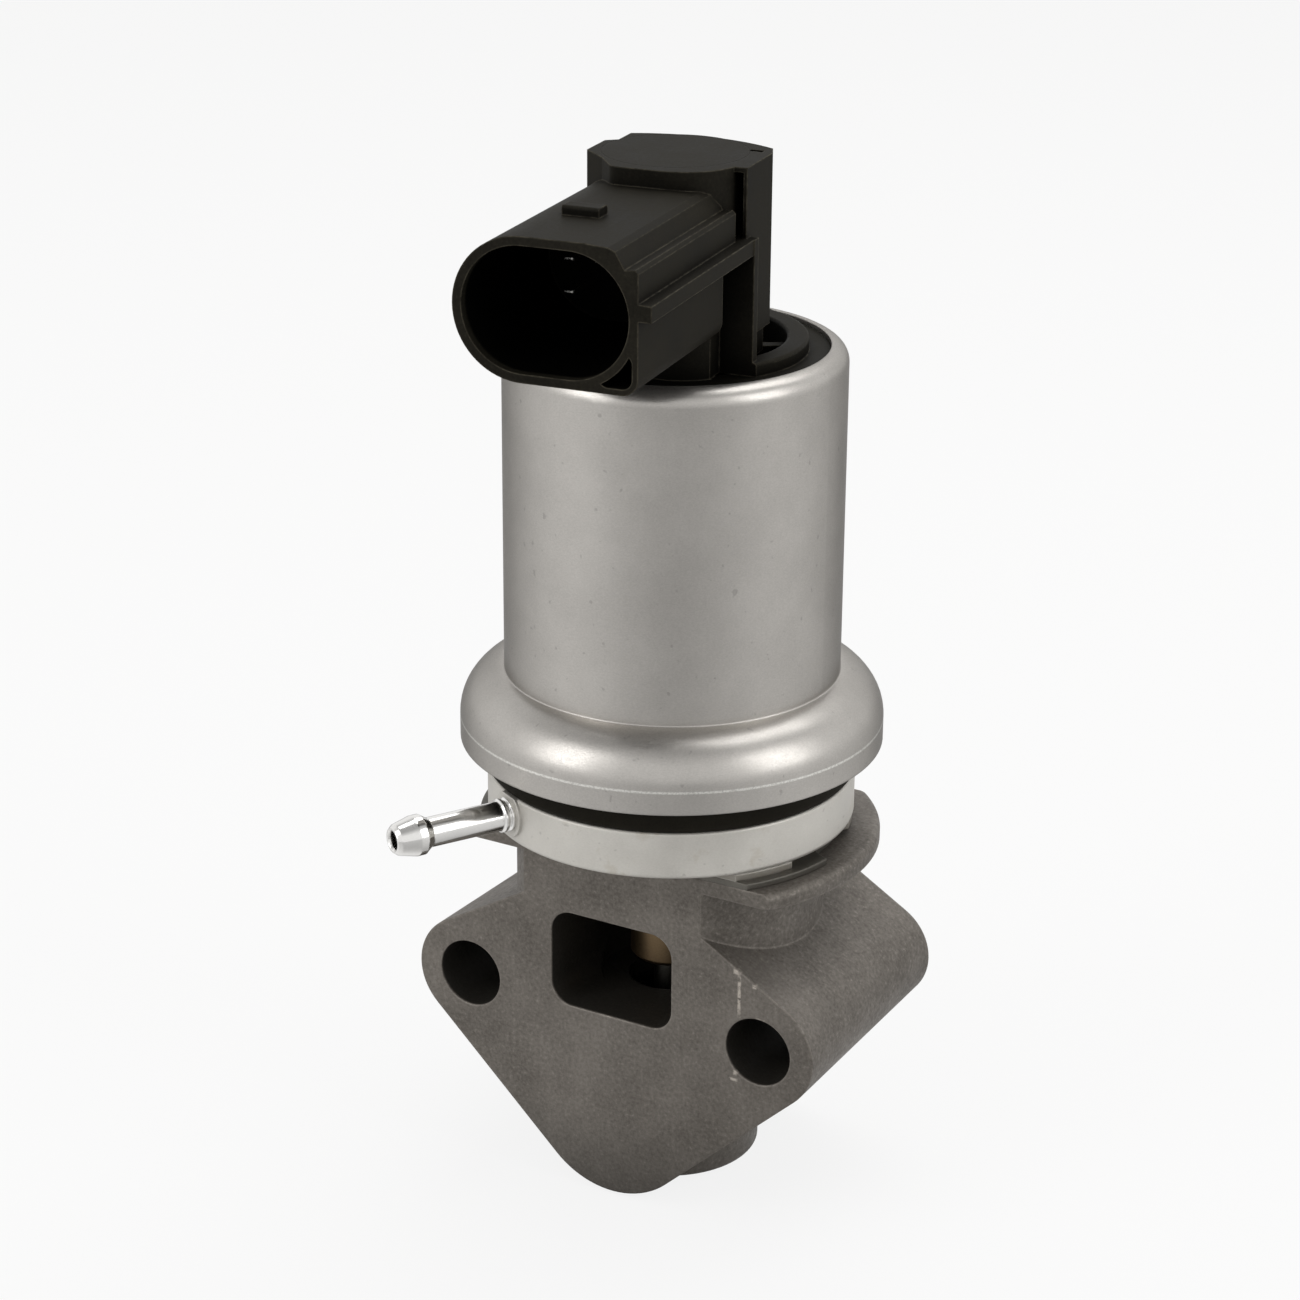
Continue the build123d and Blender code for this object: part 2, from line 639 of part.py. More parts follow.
def socket_outer():
    """Oval shroud with squared right corners and a flat rail along its right side."""
    top = SOCKET_Z + SOCKET_WALL_H / 2
    bottom = SOCKET_Z - SOCKET_WALL_H / 2
    side = SOCKET_X + SOCKET_WALL_W / 2
    shroud = Pos(SOCKET_X, SOCKET_Z) * oval(SOCKET_WALL_W, SOCKET_WALL_H)
    lower = RectangleRounded(SOCKET_WALL_W / 2, SOCKET_Z - bottom, CORNER_R)
    shroud += Pos(side - SOCKET_WALL_W / 4, (SOCKET_Z + bottom) / 2) * lower
    shroud += make_face(Polyline(
        (SOCKET_X, top),
        (side - 6.5, top),
        (side - 3.6, top - 0.2),
        (side - 2.7, top - 0.6),
        (side - 1.6, top - 2.5),
        (side - 0.4, top - 2.4),
        (side, top - 2.8),
        (side, RAIL_TOP),
        (side + RAIL_OUT, RAIL_TOP - 0.1),
        (side + RAIL_OUT, RAIL_BOTTOM),
        (side, RAIL_BOTTOM),
        (side, SOCKET_Z - SOCKET_WALL_H / 4),
        (SOCKET_X, SOCKET_Z - SOCKET_WALL_H / 4),
        close=True,
    ))
    shroud = socket_prism(shroud, DRUM_Y, SOCKET_MOUTH)
    beside = (DRUM_X + CAVITY_R - 0.7, WEB_RIGHT + 1)
    shroud -= block(beside, (SOCKET_BACK, 0), (bottom - 1, RAIL_BOTTOM))
    shroud -= block(beside, (FLANK_BACK, 0), (RAIL_TOP, top + 1))
    return shroud - block(beside, (TOWER_FRONT + WEB_THICK, 0), (RAIL_BOTTOM - 1, RAIL_TOP + 1))


def key_slot():
    """Crescent between the shroud's inner ring and its squared lower corner."""
    size = 4.0
    corner_x = SOCKET_X + SOCKET_WALL_W / 2 - KEY_SKIN
    corner_z = SOCKET_Z - SOCKET_WALL_H / 2 + KEY_SKIN
    corner = Pos(corner_x - size / 2, corner_z + size / 2) * RectangleRounded(size, size, CORNER_R - KEY_SKIN)
    ring = Pos(SOCKET_X, SOCKET_Z) * oval(SOCKET_W + 2 * KEY_RING, SOCKET_H + 2 * KEY_RING)
    return socket_prism(corner - ring, SOCKET_MOUTH + KEY_DEPTH, SOCKET_MOUTH)


def tower_outer():
    """Upright block with a bowed back, a bevelled left corner and a round front."""
    left = TOWER_LEFT + TOWER_LEFT_STEP
    back_left = (left, TOWER_BACK - 1.8)
    back_right = (TOWER_RIGHT - 0.75, TOWER_BACK - 2.8)
    back = ThreePointArc(back_left, (DRUM_X, TOWER_BACK), back_right)
    walls = Polyline(
        back_right,
        (TOWER_RIGHT, TOWER_BACK - 4.9),
        (TOWER_RIGHT, TOWER_FRONT),
        (NOSE_X, TOWER_FRONT),
        (NOSE_X, BROW_Y),
        (BROW_X - 0.81 * BROW_R, BROW_Y - 0.58 * BROW_R),
        (TOWER_LEFT + TOWER_BEVEL, TOWER_LEFT_FRONT - 0.95 * TOWER_BEVEL),
        (TOWER_LEFT, TOWER_LEFT_FRONT),
        (TOWER_LEFT, TOWER_LEFT_FRONT + 5.4),
        (left, TOWER_LEFT_FRONT + 6.4),
        back_left,
    )
    plan = make_face(Wire(back.edges() + walls.edges()))
    upright = Pos(0, 0, CAP_TOP) * extrude(plan, amount=TOWER_TOP - CAP_TOP)
    gap_right = TOWER_RIGHT - GAP_WALL
    upright -= block(
        (gap_right - GAP_W, gap_right),
        (TOWER_FRONT - 1, TOWER_FRONT + GAP_DEPTH),
        (RAIL_TOP, TOWER_TOP - GAP_ROOF),
    )
    beside = (DRUM_X + CAVITY_R + 0.7, TOWER_RIGHT)
    upright -= block(beside, (TOWER_FRONT + WEB_THICK, TOWER_BACK), (CAP_TOP, TOWER_FOOT))
    rounds = [Pos(BROW_X, BROW_Y) * Circle(BROW_R), Pos(NOSE_X, NOSE_Y) * Circle(NOSE_R)]
    drum = Pos(0, 0, CAP_TOP) * extrude(make_hull(rounds[0].edges() + rounds[1].edges()), amount=TOWER_TOP - CAP_TOP)
    beside = (DRUM_X + CAVITY_R - 0.7, WEB_RIGHT)
    drum -= block(beside, (NOSE_Y - NOSE_R, TOWER_FRONT), (CAP_TOP, RAIL_BOTTOM))
    web = block(beside, (TOWER_FRONT, TOWER_FRONT + WEB_THICK), (CAP_TOP, RAIL_TOP - 0.1))
    return upright + drum + web


def top_cap():
    disc = rod(YOKE_R, YOKE_TOP, CAP_SKIRT_TOP) + rod(CAP_NECK_R, CAP_SKIRT_TOP, CAP_TOP)
    disc += rod(CORE_R, CAP_HUB_BOTTOM, YOKE_TOP)
    groove_r = CAP_RING_R - CAP_RING_WALL
    groove = tube(groove_r, CAP_GROOVE_R, CAP_GROOVE_FLOOR, CAP_TOP)
    for angle in (27, 100, 173):
        rib = block((CAP_GROOVE_R - 1, groove_r + 1), (-0.7, 0.7), (CAP_GROOVE_FLOOR - 1, CAP_TOP + 1))
        groove -= Rot(0, 0, angle) * rib
    disc -= groove
    raised = tube(CAP_RING_R, groove_r, CAP_TOP, CAP_RING_TOP)
    raised = round_at(raised, 0.4, CAP_RING_TOP)
    raised -= block((NOSE_X - NOSE_R, WEB_RIGHT + 1), (-CAP_RING_R, TOWER_FRONT), (CAP_TOP, CAP_RING_TOP))
    cap = disc + raised
    cap += tower_outer() + socket_outer()
    nub_top = SOCKET_Z + SOCKET_WALL_H / 2 + NUB_HEIGHT
    nub = block((NUB_LEFT, NUB_RIGHT), (NUB_FRONT, NUB_FRONT + NUB_LENGTH), (nub_top - 2 * NUB_HEIGHT, nub_top))
    cap += fillet(nub.edges().filter_by(Axis.X).group_by(Axis.Z)[-1], 0.4)
    cap -= Pos(DRUM_X + LID_R + 0.1, 0, TOWER_TOP) * Box(1.6, 0.9, 1.6)

    socket = Pos(SOCKET_X, SOCKET_Z) * oval(SOCKET_W, SOCKET_H)
    cap -= socket_prism(socket, SOCKET_FLOOR, SOCKET_MOUTH - 1)
    cap -= key_slot()
    cap -= Pos(DRUM_X, DRUM_Y, 0) * rod(CAVITY_R, CAVITY_FLOOR, TOWER_TOP)
    cap -= Pos(DRUM_X, DRUM_Y, 0) * rod(LID_R, TOWER_TOP - LID_THICK, TOWER_TOP)
    cap -= rod(PLUNGER_R + RUNNING, CAP_HUB_BOTTOM, CAVITY_FLOOR)
    for place in lead_places():
        cap -= place * rod(LEAD_R, YOKE_TOP, CAVITY_FLOOR)
    for blade in blades():
        cap -= blade
    return SENSOR_FRAME * cap


def tower_lid():
    lid = Pos(DRUM_X, DRUM_Y, 0) * rod(LID_R, TOWER_TOP - LID_THICK, TOWER_TOP)
    return SENSOR_FRAME * lid


def blade_places():
    """Three blades above and two below, on the socket's centre lines."""
    upper = SOCKET_Z + BLADE_ROWS / 2
    lower = SOCKET_Z - BLADE_ROWS / 2
    places = [(SOCKET_X + step * BLADE_PITCH, upper) for step in (-1, 0, 1)]
    places += [(SOCKET_X + step * BLADE_PITCH, lower) for step in (-1, 1)]
    return places


def blades():
    back = BOARD_BACK - BOARD_THICK
    shapes = []
    for x, z in blade_places():
        blade = block((x - BLADE_W / 2, x + BLADE_W / 2), (BLADE_TIP, back), (z - BLADE_T / 2, z + BLADE_T / 2))
        tip = blade.faces().sort_by(Axis.Y)[0]
        shapes.append(chamfer(tip.edges(), 0.2))
    return shapes


def contact_pins():
    return Compound([SENSOR_FRAME * blade for blade in blades()])


# Lift sensor

def sensor_board():
    board = block(
        (DRUM_X - BOARD_W / 2, DRUM_X + BOARD_W / 2),
        (BOARD_BACK - BOARD_THICK, BOARD_BACK),
        (BOARD_BOTTOM, BOARD_TOP),
    )
    return SENSOR_FRAME * board


def sensor_pin():
    bottom = ARMATURE_TOP + PIN_GAP
    outline = [
        (0, bottom),
        (PLUNGER_R - 0.5, bottom),
        (PLUNGER_R, bottom + 0.6),
        (PLUNGER_R, PLUNGER_TOP - 0.3),
        (PLUNGER_R - 0.3, PLUNGER_TOP),
        (0, PLUNGER_TOP),
    ]
    return SENSOR_FRAME * turned(*outline)


def wiper_carrier():
    hub = rod(CARRIER_R, CARRIER_BOTTOM, CARRIER_TOP)
    arm = block((-ARM_W / 2, ARM_W / 2), (BOARD_BACK + ARM_GAP, 0), (CARRIER_BOTTOM + 1, CARRIER_TOP - 1))
    carrier = hub + arm - rod(PLUNGER_R, CARRIER_BOTTOM, CARRIER_TOP)
    return SENSOR_FRAME * carrier


def wiper_contact():
    """Sprung brass finger pair on the end of the carrier's arm."""
    back = BOARD_BACK + ARM_GAP
    middle = (CARRIER_BOTTOM + CARRIER_TOP) / 2
    plate = block((-ARM_W / 2, ARM_W / 2), (back - CONTACT_T, back), (CARRIER_BOTTOM + 1, CARRIER_TOP - 1))
    for side in (-1, 1):
        x = side * (ARM_W / 2 - 0.5)
        finger = block((x - 0.4, x + 0.4), (BOARD_BACK + PIN_GAP, back), (middle - CONTACT_T, middle + CONTACT_T))
        plate += finger
    return SENSOR_FRAME * plate


def sensor_spring():
    top = TOWER_TOP - LID_THICK
    return SENSOR_FRAME * coil_spring(SENSOR_SPRING_R, SENSOR_WIRE_R, SENSOR_TURNS, CARRIER_TOP, top)


PARTS = {
    "valve_body": valve_body,
    "valve_seat": valve_seat,
    "bottom_plug": bottom_plug,
    "poppet_valve": poppet_valve,
    "stem_guide": stem_guide,
    "stem_seal": stem_seal,
    "return_spring": return_spring,
    "spring_retainer": spring_retainer,
    "retainer_clip": retainer_clip,
    "spacer_plate": spacer_plate,
    "base_ring": base_ring,
    "vent_nipple": vent_nipple,
    "base_seal": base_seal,
    "base_screws": base_screws,
    "solenoid_can": solenoid_can,
    "flange_plate": flange_plate,
    "pole_piece": pole_piece,
    "armature_sleeve": armature_sleeve,
    "armature": armature,
    "coil_bobbin": coil_bobbin,
    "coil_winding": coil_winding,
    "coil_leads": coil_leads,
    "upper_yoke": upper_yoke,
    "cap_seal": cap_seal,
    "top_cap": top_cap,
    "tower_lid": tower_lid,
    "contact_pins": contact_pins,
    "sensor_board": sensor_board,
    "sensor_pin": sensor_pin,
    "wiper_carrier": wiper_carrier,
    "wiper_contact": wiper_contact,
    "sensor_spring": sensor_spring,
}

os.makedirs("parts", exist_ok=True)
for name, build in PARTS.items():
    export_step(build(), f"parts/{name}.step")
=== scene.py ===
"""Looks of the exhaust gas recirculation valve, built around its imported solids. Lengths are in metres."""

import math

import bpy
from mathutils import Matrix, Vector


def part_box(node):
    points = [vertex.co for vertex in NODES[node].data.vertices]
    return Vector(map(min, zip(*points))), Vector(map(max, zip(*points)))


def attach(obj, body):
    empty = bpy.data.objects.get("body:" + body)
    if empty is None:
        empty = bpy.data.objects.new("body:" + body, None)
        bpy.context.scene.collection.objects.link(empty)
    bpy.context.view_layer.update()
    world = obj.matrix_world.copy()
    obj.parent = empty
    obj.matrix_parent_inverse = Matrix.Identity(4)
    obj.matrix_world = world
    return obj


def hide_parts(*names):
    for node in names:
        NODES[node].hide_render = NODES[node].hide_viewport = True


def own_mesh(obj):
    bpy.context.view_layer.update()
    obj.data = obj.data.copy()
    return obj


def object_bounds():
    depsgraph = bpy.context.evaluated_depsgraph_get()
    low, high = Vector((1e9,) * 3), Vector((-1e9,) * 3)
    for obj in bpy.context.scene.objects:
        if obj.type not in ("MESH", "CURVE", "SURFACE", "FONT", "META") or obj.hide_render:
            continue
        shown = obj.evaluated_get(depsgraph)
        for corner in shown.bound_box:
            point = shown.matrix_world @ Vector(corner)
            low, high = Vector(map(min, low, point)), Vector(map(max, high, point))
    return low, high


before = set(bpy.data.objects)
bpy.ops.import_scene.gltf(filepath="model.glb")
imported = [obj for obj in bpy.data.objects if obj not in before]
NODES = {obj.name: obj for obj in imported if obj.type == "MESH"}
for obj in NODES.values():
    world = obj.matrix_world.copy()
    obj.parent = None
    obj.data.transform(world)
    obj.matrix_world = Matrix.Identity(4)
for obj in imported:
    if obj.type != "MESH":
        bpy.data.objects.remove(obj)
cad_low, cad_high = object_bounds()
scene = bpy.context.scene

MM = 0.001
STEM_Y = 14.9
AXIS = Vector((0.0, STEM_Y * MM, 0.0))


# Shader graphs

class Graph:
    """A node tree with short calls to add a node, wire it and read a socket."""

    def __init__(self, tree):
        self.tree = tree

    def add(self, kind, inputs=None, **settings):
        node = self.tree.nodes.new(kind)
        for key, value in settings.items():
            setattr(node, key, value)
        for key, value in (inputs or {}).items():
            self.feed(node.inputs[key], value)
        return node

    def feed(self, socket, value):
        if isinstance(value, bpy.types.NodeSocket):
            self.tree.links.new(value, socket)
        else:
            socket.default_value = value

    def math(self, operation, first, second=0.0):
        return self.add("ShaderNodeMath", {0: first, 1: second}, operation=operation).outputs[0]

    def vector(self, operation, first, second=(0.0, 0.0, 0.0)):
        return self.add("ShaderNodeVectorMath", {0: first, 1: second}, operation=operation).outputs["Vector"]

    def times(self, value, factor):
        return self.math("MULTIPLY", value, factor)

    def place(self):
        """Where a point lies in the object's own space, in metres."""
        return self.add("ShaderNodeTexCoord").outputs["Object"]

    def parts(self, vector):
        return self.add("ShaderNodeSeparateXYZ", {"Vector": vector}).outputs

    def stretched(self, scale=(1.0, 1.0, 1.0)):
        return self.add("ShaderNodeMapping", {"Vector": self.place(), "Scale": scale}).outputs["Vector"]

    def noise(self, vector, scale, detail=2.0, roughness=0.5):
        inputs = {"Vector": vector, "Scale": scale, "Detail": detail, "Roughness": roughness}
        return self.add("ShaderNodeTexNoise", inputs).outputs["Fac"]

    def levels(self, value, low, high, out_low=0.0, out_high=1.0):
        inputs = {"Value": value, "From Min": low, "From Max": high, "To Min": out_low, "To Max": out_high}
        return self.add("ShaderNodeMapRange", inputs, clamp=True).outputs["Result"]

    def blend(self, factor, first, second):
        node = self.add("ShaderNodeMix", data_type="RGBA")
        self.feed(node.inputs["Factor"], factor)
        self.feed(node.inputs["A"], first)
        self.feed(node.inputs["B"], second)
        return node.outputs["Result"]

    def inside(self, middle, half, soft):
        """Mask of an upright box around middle in the object's own space, in millimetres."""
        shifted = self.vector("SUBTRACT", self.place(), [MM * part for part in middle])
        share = self.vector("ABSOLUTE", self.vector("DIVIDE", shifted, [MM * part for part in half]))
        parts = self.parts(share)
        most = self.math("MAXIMUM", self.math("MAXIMUM", parts["X"], parts["Y"]), parts["Z"])
        return self.levels(most, 1.0 + soft, 1.0 - soft)

    def outside_lid(self):
        """0 over the lid and its seat, 1 outside them."""
        flat = self.vector("MULTIPLY", self.vector("SUBTRACT", self.place(), LID_MIDDLE), (1.0, 1.0, 0.0))
        span = self.add("ShaderNodeVectorMath", {0: flat}, operation="LENGTH").outputs["Value"]
        return self.levels(span, LID_RADIUS * MM, (LID_RADIUS + 0.1) * MM)

    def inside_socket(self):
        """Mask of the oval socket's inner wall, floor and key, whatever way the socket is turned."""
        turn = {"Vector": self.place(), "Center": AXIS, "Angle": -SOCKET_TURN}
        turned = self.add("ShaderNodeVectorRotate", turn, rotation_type="Z_AXIS").outputs["Vector"]
        parts = self.parts(self.vector("SUBTRACT", turned, AXIS + Vector(SOCKET_MIDDLE) * MM))
        past_flat = self.math("SUBTRACT", self.math("ABSOLUTE", parts["X"]), SOCKET_HALF_FLAT * MM)
        beside = self.math("MAXIMUM", past_flat, 0.0)
        squares = self.math("ADD", self.times(beside, beside), self.times(parts["Z"], parts["Z"]))
        ring = self.levels(self.math("SQRT", squares), (SOCKET_RADIUS + 0.15) * MM, SOCKET_RADIUS * MM)
        along = self.math("ABSOLUTE", parts["Y"])
        depth = self.levels(along, (SOCKET_HALF_DEPTH + 0.5) * MM, SOCKET_HALF_DEPTH * MM)
        return self.times(ring, depth)


def shader_group(name, inputs, outputs):
    """Empty node group with named value or normal sockets: its tree, graph, given values and results."""
    tree = bpy.data.node_groups.new(name, "ShaderNodeTree")
    kinds = {"value": "NodeSocketFloat", "normal": "NodeSocketVector"}
    for label, default in inputs:
        socket = tree.interface.new_socket(label, in_out="INPUT", socket_type=kinds["value"])
        socket.default_value = default
    for label, kind in outputs:
        tree.interface.new_socket(label, in_out="OUTPUT", socket_type=kinds[kind])
    graph = Graph(tree)
    return tree, graph, graph.add("NodeGroupInput").outputs, graph.add("NodeGroupOutput").inputs


def casting_grain_group():
    """Pebbled skin of a die casting: fine grain, shallow dimples and a patchy tone."""
    inputs = [("Grain Scale", 2200.0), ("Patch Scale", 90.0)]
    outputs = [("Height", "value"), ("Tone", "value"), ("Speck", "value")]
    tree, graph, given, result = shader_group("casting_grain", inputs, outputs)
    place = graph.stretched()
    grain = graph.noise(place, given["Grain Scale"], 3.0, 0.7)
    coarse = graph.noise(place, graph.times(given["Grain Scale"], 0.35), 2.0, 0.5)
    height = graph.math("ADD", graph.times(grain, 0.65), graph.times(coarse, 0.35))
    graph.feed(result["Height"], height)
    patch = graph.noise(place, given["Patch Scale"], 5.0, 0.65)
    tone = graph.math("ADD", graph.times(patch, 0.5), graph.times(grain, 0.5))
    graph.feed(result["Tone"], graph.levels(tone, 0.38, 0.62))
    graph.feed(result["Speck"], graph.levels(grain, 0.62, 0.72))
    return tree


def rub_marks_group():
    """Marks on smooth metal: cloudy patches, fine grain, tiny crystals, faint scratches and pin specks."""
    inputs = [("Patch Scale", 60.0), ("Scratch Scale", 260.0)]
    outputs = [
        ("Cloud", "value"),
        ("Grain", "value"),
        ("Crystal", "value"),
        ("Scratch", "value"),
        ("Speck", "value"),
    ]
    tree, graph, given, result = shader_group("rub_marks", inputs, outputs)
    place = graph.stretched()
    graph.feed(result["Crystal"], graph.noise(place, 9000.0, 1.0, 0.5))
    across = graph.stretched((1.0, 1.0, 1.8))
    graph.feed(result["Grain"], graph.levels(graph.noise(across, 3600.0, 3.0, 0.7), 0.35, 0.65))
    cloud = graph.noise(place, given["Patch Scale"], 5.0, 0.62)
    graph.feed(result["Cloud"], graph.levels(cloud, 0.35, 0.65))
    drawn = graph.stretched((1.0, 1.0, 0.06))
    scratch = graph.noise(drawn, given["Scratch Scale"], 3.0, 0.7)
    graph.feed(result["Scratch"], graph.levels(scratch, 0.62, 0.75))
    specks = graph.noise(place, graph.times(given["Scratch Scale"], 4.0), 1.0, 0.5)
    graph.feed(result["Speck"], graph.levels(specks, 0.72, 0.78))
    return tree


def crevices_group():
    """Mask of grooves, corners and hollows that little light reaches, from ambient occlusion; it drives
    painted shade, and painted light on the can.
    """
    tree, graph, given, result = shader_group("crevices", [("Reach", 3.0 * MM)], [("Shade", "value")])
    hidden = graph.add("ShaderNodeAmbientOcclusion", {"Distance": given["Reach"]}, samples=6)
    graph.feed(result["Shade"], graph.levels(hidden.outputs["AO"], 0.85, 0.25))
    return tree


def worn_and_highlit_edges_group():
    """Rounded normal and a broken pale line along outer edges, which is rubbed wear and also a painted edge
    highlight.
    """
    inputs = [("Radius", 0.25 * MM), ("Break Scale", 900.0)]
    outputs = [("Edge", "value"), ("Normal", "normal")]
    tree, graph, given, result = shader_group("worn_and_highlit_edges", inputs, outputs)
    rounded = graph.add("ShaderNodeBevel", {"Radius": given["Radius"]}, samples=6).outputs["Normal"]
    flat = graph.add("ShaderNodeNewGeometry").outputs["Normal"]
    likeness = graph.add("ShaderNodeVectorMath", {0: rounded, 1: flat}, operation="DOT_PRODUCT")
    # pale edge line: rubbed wear, and also a painted highlight where the edges catch light
    line = graph.levels(likeness.outputs["Value"], 0.995, 0.85)
    chips = graph.noise(graph.stretched(), given["Break Scale"], 3.0, 0.6)
    breaks = graph.levels(chips, 0.35, 0.6, 0.25, 1.0)
    graph.feed(result["Edge"], graph.times(line, breaks))
    graph.feed(result["Normal"], rounded)
    return tree


# Places on the casting, in millimetres: middle and half size
# soot in the port passage, and painted shade darkening the port and the two bolt holes
SOOT_AND_SHADE_PLACES = [
    ((0.0, 17.0, -3.35), (9.05, 16.7, 15.9)),
    ((-21.0, 17.0, 0.0), (4.6, 16.7, 4.6)),
    ((21.0, 17.0, 0.0), (4.6, 16.7, 4.6)),
]
BRIGHT_NICKS = [
    ((18.3, 0.0, 7.3), (0.2, 0.3, 2.5)),
    ((18.0, 0.0, -3.7), (0.3, 0.3, 0.3)),
    ((17.7, 0.0, -4.7), (0.5, 0.3, 0.18)),
    ((21.3, 0.0, 4.5), (0.5, 0.5, 0.15)),
    ((17.8, 0.0, 10.2), (0.3, 0.4, 0.3)),
    ((20.4, 0.0, 8.8), (0.25, 0.4, 0.25)),
]
# painted shade: the casting darkens between these heights, towards its underside below the lugs
UNDERSIDE_SHADE_FROM = -14.0
UNDERSIDE_SHADE_TO = -24.0

# Base ring and can: the ring's dirty foot, and the painted highlight line round the can's rim
RING_FOOT_TOP = 23.6
RING_FOOT = 23.1
RIM_HIGHLIGHT = 36.1
RIM_HIGHLIGHT_HALF = 0.14
CAN_REACH = 40.0

# Cap: the oval socket, the turn of tower and socket, and the round lid
SOCKET_TURN = math.radians(8.0)
SOCKET_MIDDLE = (0.4, -27.4, 97.6)
SOCKET_HALF_FLAT = 2.75
SOCKET_RADIUS = 7.5
SOCKET_HALF_DEPTH = 11.2
LID_RADIUS = 9.0
LID_MIDDLE = AXIS + Matrix.Rotation(SOCKET_TURN, 3, "Z") @ Vector((1.2 * MM, -3.7 * MM, 0.0))

GRAIN = casting_grain_group()
RUBS = rub_marks_group()
EDGES = worn_and_highlit_edges_group()
CREVICES = crevices_group()


def new_material(name, metallic):
    """Material with its graph and its Principled shader."""
    material = bpy.data.materials.new(name)
    material.use_nodes = True
    graph = Graph(material.node_tree)
    shader = material.node_tree.nodes["Principled BSDF"]
    shader.inputs["Metallic"].default_value = metallic
    return material, graph, shader


def use_group(graph, tree, **values):
    """Outputs of a shader group, placed in a material with its own values."""
    node = graph.add("ShaderNodeGroup", node_tree=tree)
    for label, value in values.items():
        graph.feed(node.inputs[label.replace("_", " ").title()], value)
    return node.outputs


def scaled(colour, factor):
    """The colour made lighter or darker, at most white."""
    return tuple(min(1.0, channel * factor) for channel in colour[:3]) + (1.0,)


def tint(red, green, blue):
    return (red, green, blue, 1.0)


def add_bump(graph, shader, height, strength, depth, normal):
    bump = graph.add(
        "ShaderNodeBump", {"Height": height, "Strength": strength, "Distance": depth, "Normal": normal}
    )
    graph.feed(shader.inputs["Normal"], bump.outputs["Normal"])


def mottle_of(graph, marks, grain):
    """Cloudy patches and fine grain in one mask, of which grain is the given share."""
    return graph.math("ADD", graph.times(marks["Cloud"], 1.0 - grain), graph.times(marks["Grain"], grain))


def casting(name, dark, light, soot_and_shade):
    """Bare cast metal with a sandy skin, rubbed bright along its edges, which also paints their highlight,
    with painted shade in its corners and towards its underside, and soot and painted shade in its passages
    and bolt holes.
    """
    material, graph, shader = new_material(name, metallic=0.6)
    skin = use_group(graph, GRAIN, grain_scale=1900.0)
    edges = use_group(graph, EDGES, radius=0.45 * MM, break_scale=700.0)
    corners = use_group(graph, CREVICES, reach=4.0 * MM)
    tone = graph.blend(skin["Tone"], dark, light)
    tone = graph.blend(graph.times(skin["Speck"], 0.35), tone, scaled(light, 1.7))
    # painted shade: darker in corners and creases, where little light reaches
    tone = graph.blend(graph.times(corners["Shade"], 0.25), tone, scaled(dark, 0.35))
    # pale rubbed edges, partly a painted highlight where the open edges catch light
    outer = graph.times(edges["Edge"], graph.levels(corners["Shade"], 0.35, 0.0, 0.0, 0.4))
    tone = graph.blend(outer, tone, scaled(light, 2.2))
    for middle, half in BRIGHT_NICKS:
        mark = graph.times(graph.inside(middle, half, 0.4), graph.levels(skin["Height"], 0.4, 0.52))
        tone = graph.blend(graph.times(mark, 0.7), tone, scaled(light, 3.2))
    # soot and painted shade: the port passage and bolt holes darkened, as recesses that light barely reaches
    soot_and_shade_mask = 0.0
    for middle, half in SOOT_AND_SHADE_PLACES:
        soot_and_shade_mask = graph.math("MAXIMUM", graph.inside(middle, half, 0.01), soot_and_shade_mask)
    tone = graph.blend(graph.times(soot_and_shade_mask, 0.84), tone, soot_and_shade)
    # painted shade: darker towards the underside, where the lugs keep off the light
    low = graph.levels(graph.parts(graph.place())["Z"], UNDERSIDE_SHADE_FROM * MM, UNDERSIDE_SHADE_TO * MM, 0.0, 0.45)
    tone = graph.blend(low, tone, scaled(dark, 0.3))
    graph.feed(shader.inputs["Base Color"], tone)
    graph.feed(shader.inputs["Roughness"], graph.levels(skin["Tone"], 0.0, 1.0, 0.63, 0.47))
    add_bump(graph, shader, skin["Height"], 0.6, 0.06 * MM, edges["Normal"])
    return material


def plated(name, dark, light, roughness, metallic=1.0, spread=0.06):
    """Plated, drawn or turned metal with rub marks and softly rounded edges, whose pale line is partly a
    painted highlight.
    """
    material, graph, shader = new_material(name, metallic)
    marks = use_group(graph, RUBS, patch_scale=60.0)
    edges = use_group(graph, EDGES, radius=0.3 * MM, break_scale=500.0)
    tone = graph.blend(mottle_of(graph, marks, 0.3), dark, light)
    tone = graph.blend(graph.times(marks["Speck"], 0.35), tone, scaled(dark, 0.6))
    # pale rubbed edges, partly a painted highlight where the edges catch light
    tone = graph.blend(graph.times(edges["Edge"], 0.35), tone, scaled(light, 1.5))
    graph.feed(shader.inputs["Base Color"], tone)
    dull = graph.math("ADD", marks["Cloud"], graph.times(marks["Scratch"], 0.5))
    gloss = graph.levels(dull, 0.0, 1.5, roughness - spread, roughness + spread)
    graph.feed(shader.inputs["Roughness"], gloss)
    add_bump(graph, shader, marks["Scratch"], 0.15, 0.01 * MM, edges["Normal"])
    return material


